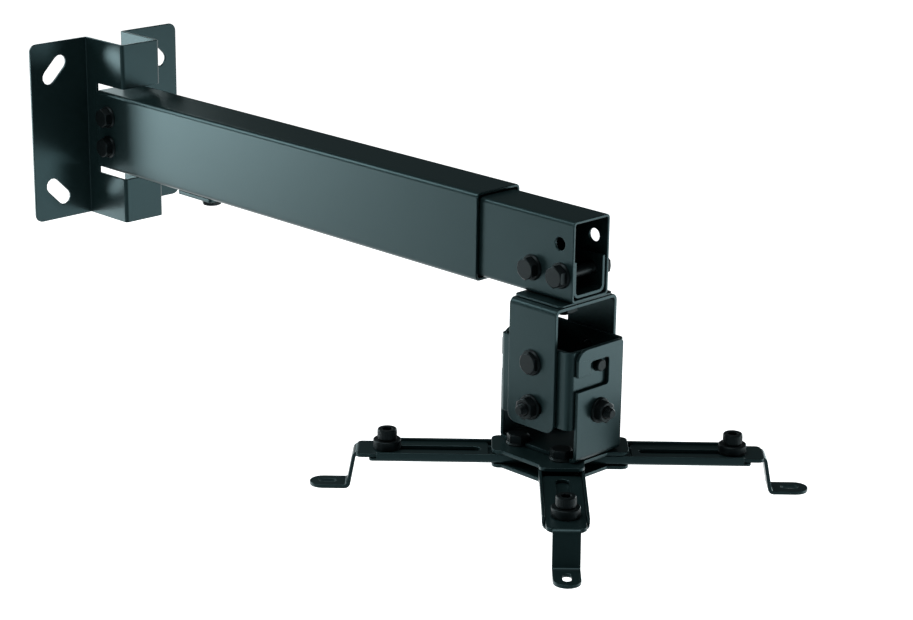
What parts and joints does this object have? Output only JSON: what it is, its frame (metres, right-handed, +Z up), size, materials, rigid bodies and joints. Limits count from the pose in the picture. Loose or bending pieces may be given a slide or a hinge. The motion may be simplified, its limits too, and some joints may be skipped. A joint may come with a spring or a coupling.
{
  "type": "projector wall mount",
  "caption": "Wall plate with a telescopic arm, a head that swivels, tilts and rolls, and a spider of slotted arms with sliding legs that hold a projector.",
  "frame": {"origin": "on the wall plane, at the centreline of the tubes", "axes": "+X out from the wall along the arm, +Y to the nuts' side of the cross bolts, +Z up"},
  "size_m": [0.6061, 0.2378, 0.231],
  "materials": {
    "powder_coat": "near-black satin powder coat on steel",
    "black_zinc": "black zinc-plated steel hardware, satin"
  },
  "bodies": {
    "wall": {"wall_plate": "powder_coat", "outer_tube": "powder_coat", "wall_bolt_upper": "black_zinc", "wall_bolt_lower": "black_zinc", "wall_nut_upper": "black_zinc", "wall_nut_lower": "black_zinc"},
    "arm": {"inner_tube": "powder_coat", "clamp_plate": "powder_coat", "clamp_bolt": "black_zinc", "clamp_nut": "black_zinc", "end_insert": "powder_coat", "end_bolt_rear": "black_zinc", "end_bolt_front": "black_zinc", "end_nut_rear": "black_zinc", "end_nut_front": "black_zinc", "swivel_bolt": "black_zinc", "swivel_nut": "black_zinc"},
    "yoke": {"yoke": "powder_coat", "swivel_plate": "powder_coat", "tilt_pivot_near": "black_zinc", "tilt_pivot_far": "black_zinc"},
    "block": {"tilt_block": "powder_coat", "tilt_bolt_near": "black_zinc", "tilt_bolt_far": "black_zinc", "tilt_nut_near": "black_zinc", "tilt_nut_far": "black_zinc", "roll_bolt_rear": "black_zinc", "roll_bolt_front": "black_zinc", "roll_nut_rear": "black_zinc", "roll_nut_front": "black_zinc", "hook_pin_rear": "black_zinc", "hook_pin_front": "black_zinc"},
    "cradle": {"cradle": "powder_coat", "hub_plate_upper": "powder_coat", "hub_plate_lower": "powder_coat", "arm_left": "powder_coat", "arm_right": "powder_coat", "arm_front": "powder_coat", "arm_back": "powder_coat", "hub_bolt_left": "black_zinc", "hub_bolt_right": "black_zinc", "hub_bolt_front": "black_zinc", "hub_bolt_back": "black_zinc", "leg_screw_left": "black_zinc", "leg_collar_left": "black_zinc", "leg_screw_right": "black_zinc", "leg_collar_right": "black_zinc", "leg_screw_front": "black_zinc", "leg_collar_front": "black_zinc", "leg_screw_back": "black_zinc", "leg_collar_back": "black_zinc"},
    "leg_left": {"leg_left": "powder_coat"},
    "leg_right": {"leg_right": "powder_coat"},
    "leg_front": {"leg_front": "powder_coat"},
    "leg_back": {"leg_back": "powder_coat"}
  },
  "joints": [
    {"name": "arm_extend", "type": "slide", "parent": "wall", "child": "arm", "axis": [1, 0, 0], "range_m": [-0.026, 0.16]},
    {"name": "swivel", "type": "hinge", "parent": "arm", "child": "yoke", "pos_m": [0.4872, 0, -0.0291], "axis": [0, 0, 1], "continuous": true},
    {"name": "tilt", "type": "hinge", "parent": "yoke", "child": "block", "pos_m": [0.4872, 0, -0.0685], "axis": [0, 1, 0], "range_deg": [-11, 11]},
    {"name": "roll", "type": "hinge", "parent": "block", "child": "cradle", "pos_m": [0.4872, 0, -0.0685], "axis": [1, 0, 0], "range_deg": [-6, 6]},
    {"name": "leg_slide_left", "type": "slide", "parent": "cradle", "child": "leg_left", "axis": [-0.7071, -0.7071, 0], "range_m": [-0.004, 0.057]},
    {"name": "leg_slide_right", "type": "slide", "parent": "cradle", "child": "leg_right", "axis": [0.7071, 0.7071, 0], "range_m": [-0.004, 0.057]},
    {"name": "leg_slide_front", "type": "slide", "parent": "cradle", "child": "leg_front", "axis": [0.7071, -0.7071, 0], "range_m": [-0.004, 0.057]},
    {"name": "leg_slide_back", "type": "slide", "parent": "cradle", "child": "leg_back", "axis": [-0.7071, 0.7071, 0], "range_m": [-0.004, 0.057]}
  ]
}
